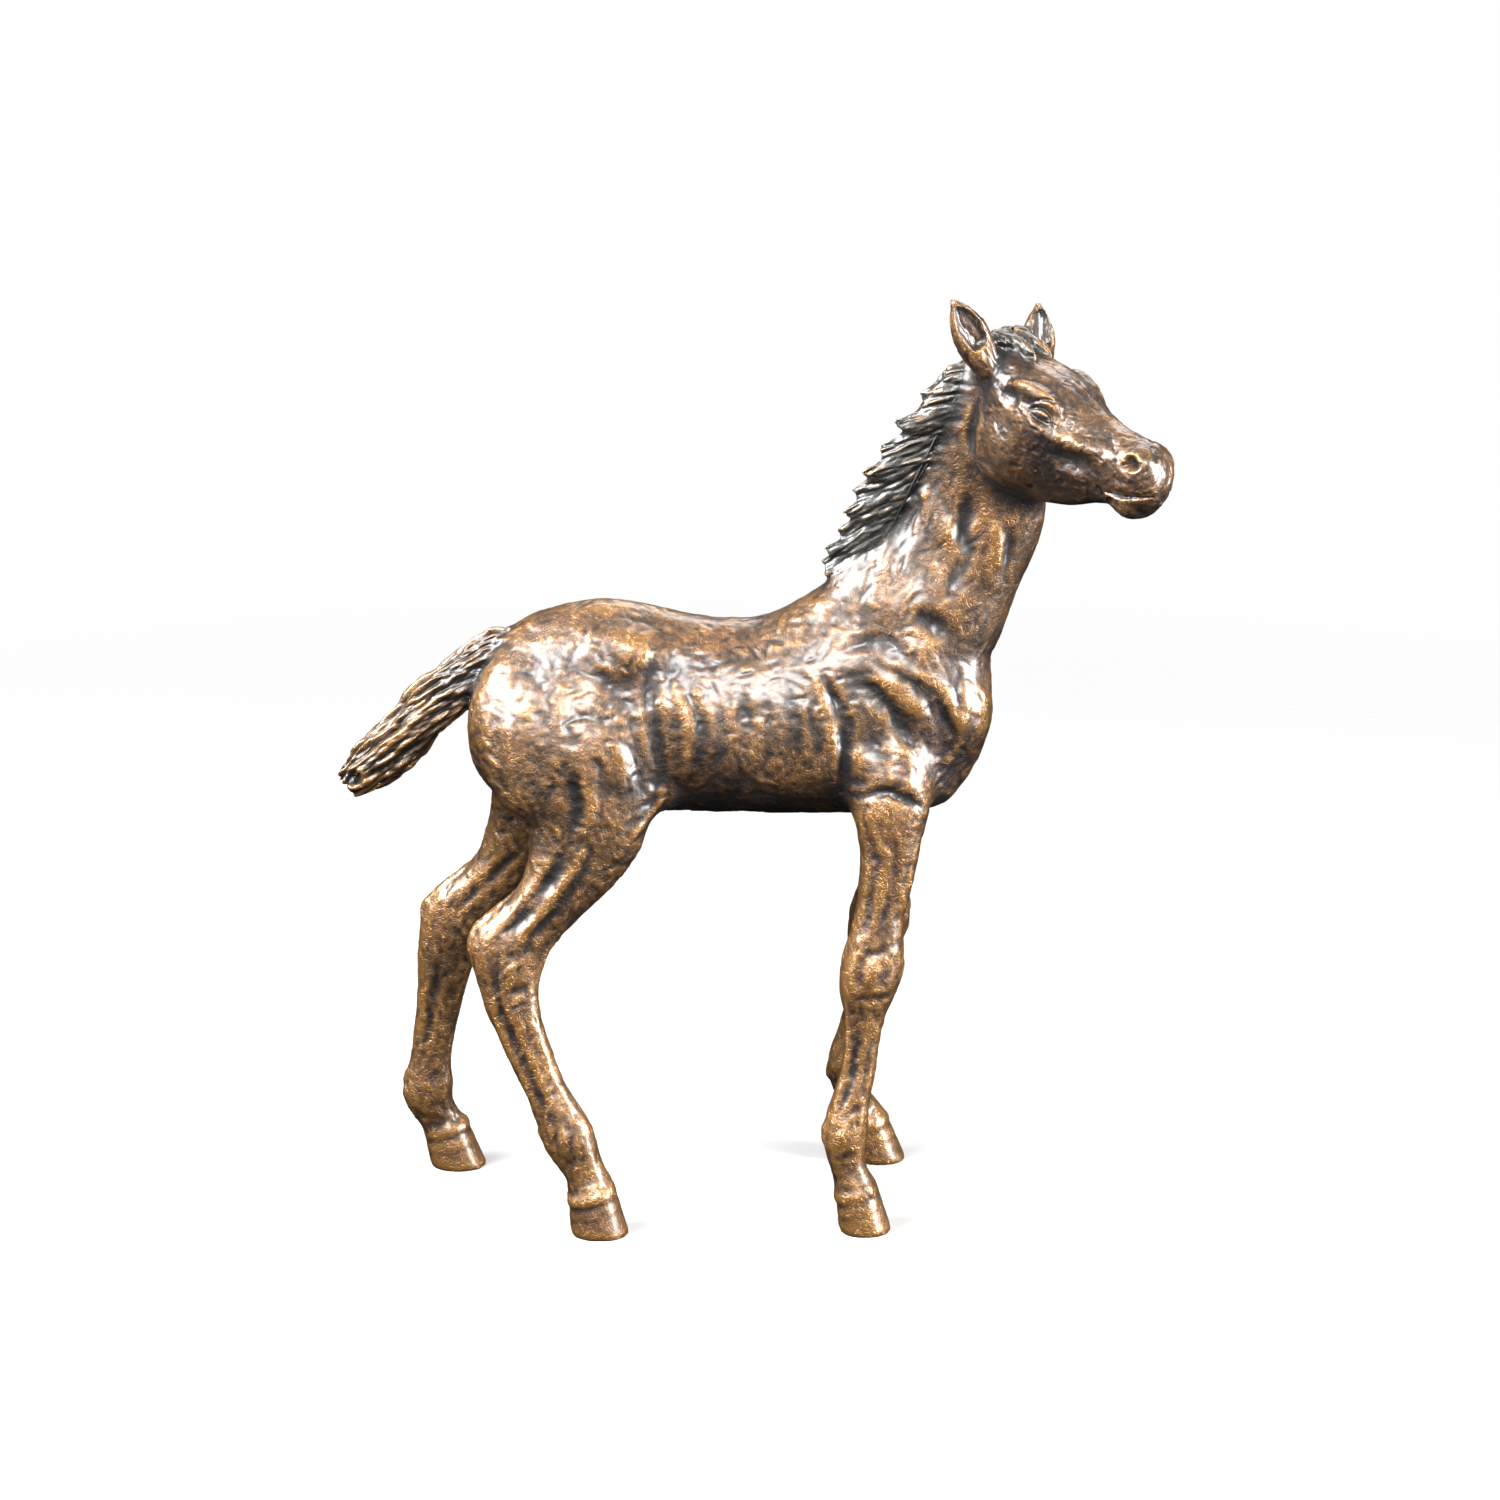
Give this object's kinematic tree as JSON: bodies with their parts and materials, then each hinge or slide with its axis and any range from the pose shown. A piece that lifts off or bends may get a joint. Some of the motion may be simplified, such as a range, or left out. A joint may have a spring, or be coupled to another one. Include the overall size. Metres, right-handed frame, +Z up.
{
  "type": "horse figurine",
  "caption": "Free-standing cast bronze figurine of a young foal, head turned to its right, with a short upright mane and a raised tail.",
  "frame": {"origin": "on the ground plane, under the centre of the bounding box", "axes": "+X the way the body faces, +Y the foal's left, +Z up"},
  "size_m": [0.123, 0.0448, 0.1405],
  "materials": {
    "patinated_bronze": "waxed brown patina over tool-marked cast bronze, worn golden on the high points",
    "bronze_rod": "drawn rod, bare",
    "bronze_tube": "drawn tube, bare",
    "plug_bronze": "turned, chased and patinated with the body"
  },
  "bodies": {
    "root": {"torso": "patinated_bronze", "neck_and_head": "patinated_bronze", "foreleg_right": "patinated_bronze", "foreleg_left": "patinated_bronze", "hindleg_right": "patinated_bronze", "hindleg_left": "patinated_bronze", "tail": "patinated_bronze", "mane": "patinated_bronze", "forelock": "patinated_bronze", "ear_right": "patinated_bronze", "ear_left": "patinated_bronze", "foreleg_right_dowel": "bronze_rod", "foreleg_left_dowel": "bronze_rod", "hindleg_right_dowel": "bronze_rod", "hindleg_left_dowel": "bronze_rod", "tail_dowel": "bronze_rod", "neck_pin_upper": "bronze_rod", "neck_pin_lower": "bronze_rod", "ear_right_pin": "bronze_rod", "ear_left_pin": "bronze_rod", "mane_pin_upper": "bronze_rod", "mane_pin_lower": "bronze_rod", "forelock_pin": "bronze_rod", "core_plug_fore_right": "plug_bronze", "core_plug_fore_left": "plug_bronze", "core_plug_hind_right": "plug_bronze", "core_plug_hind_left": "plug_bronze", "belly_plug": "plug_bronze", "neck_sleeve": "bronze_tube"}
  },
  "joints": []
}
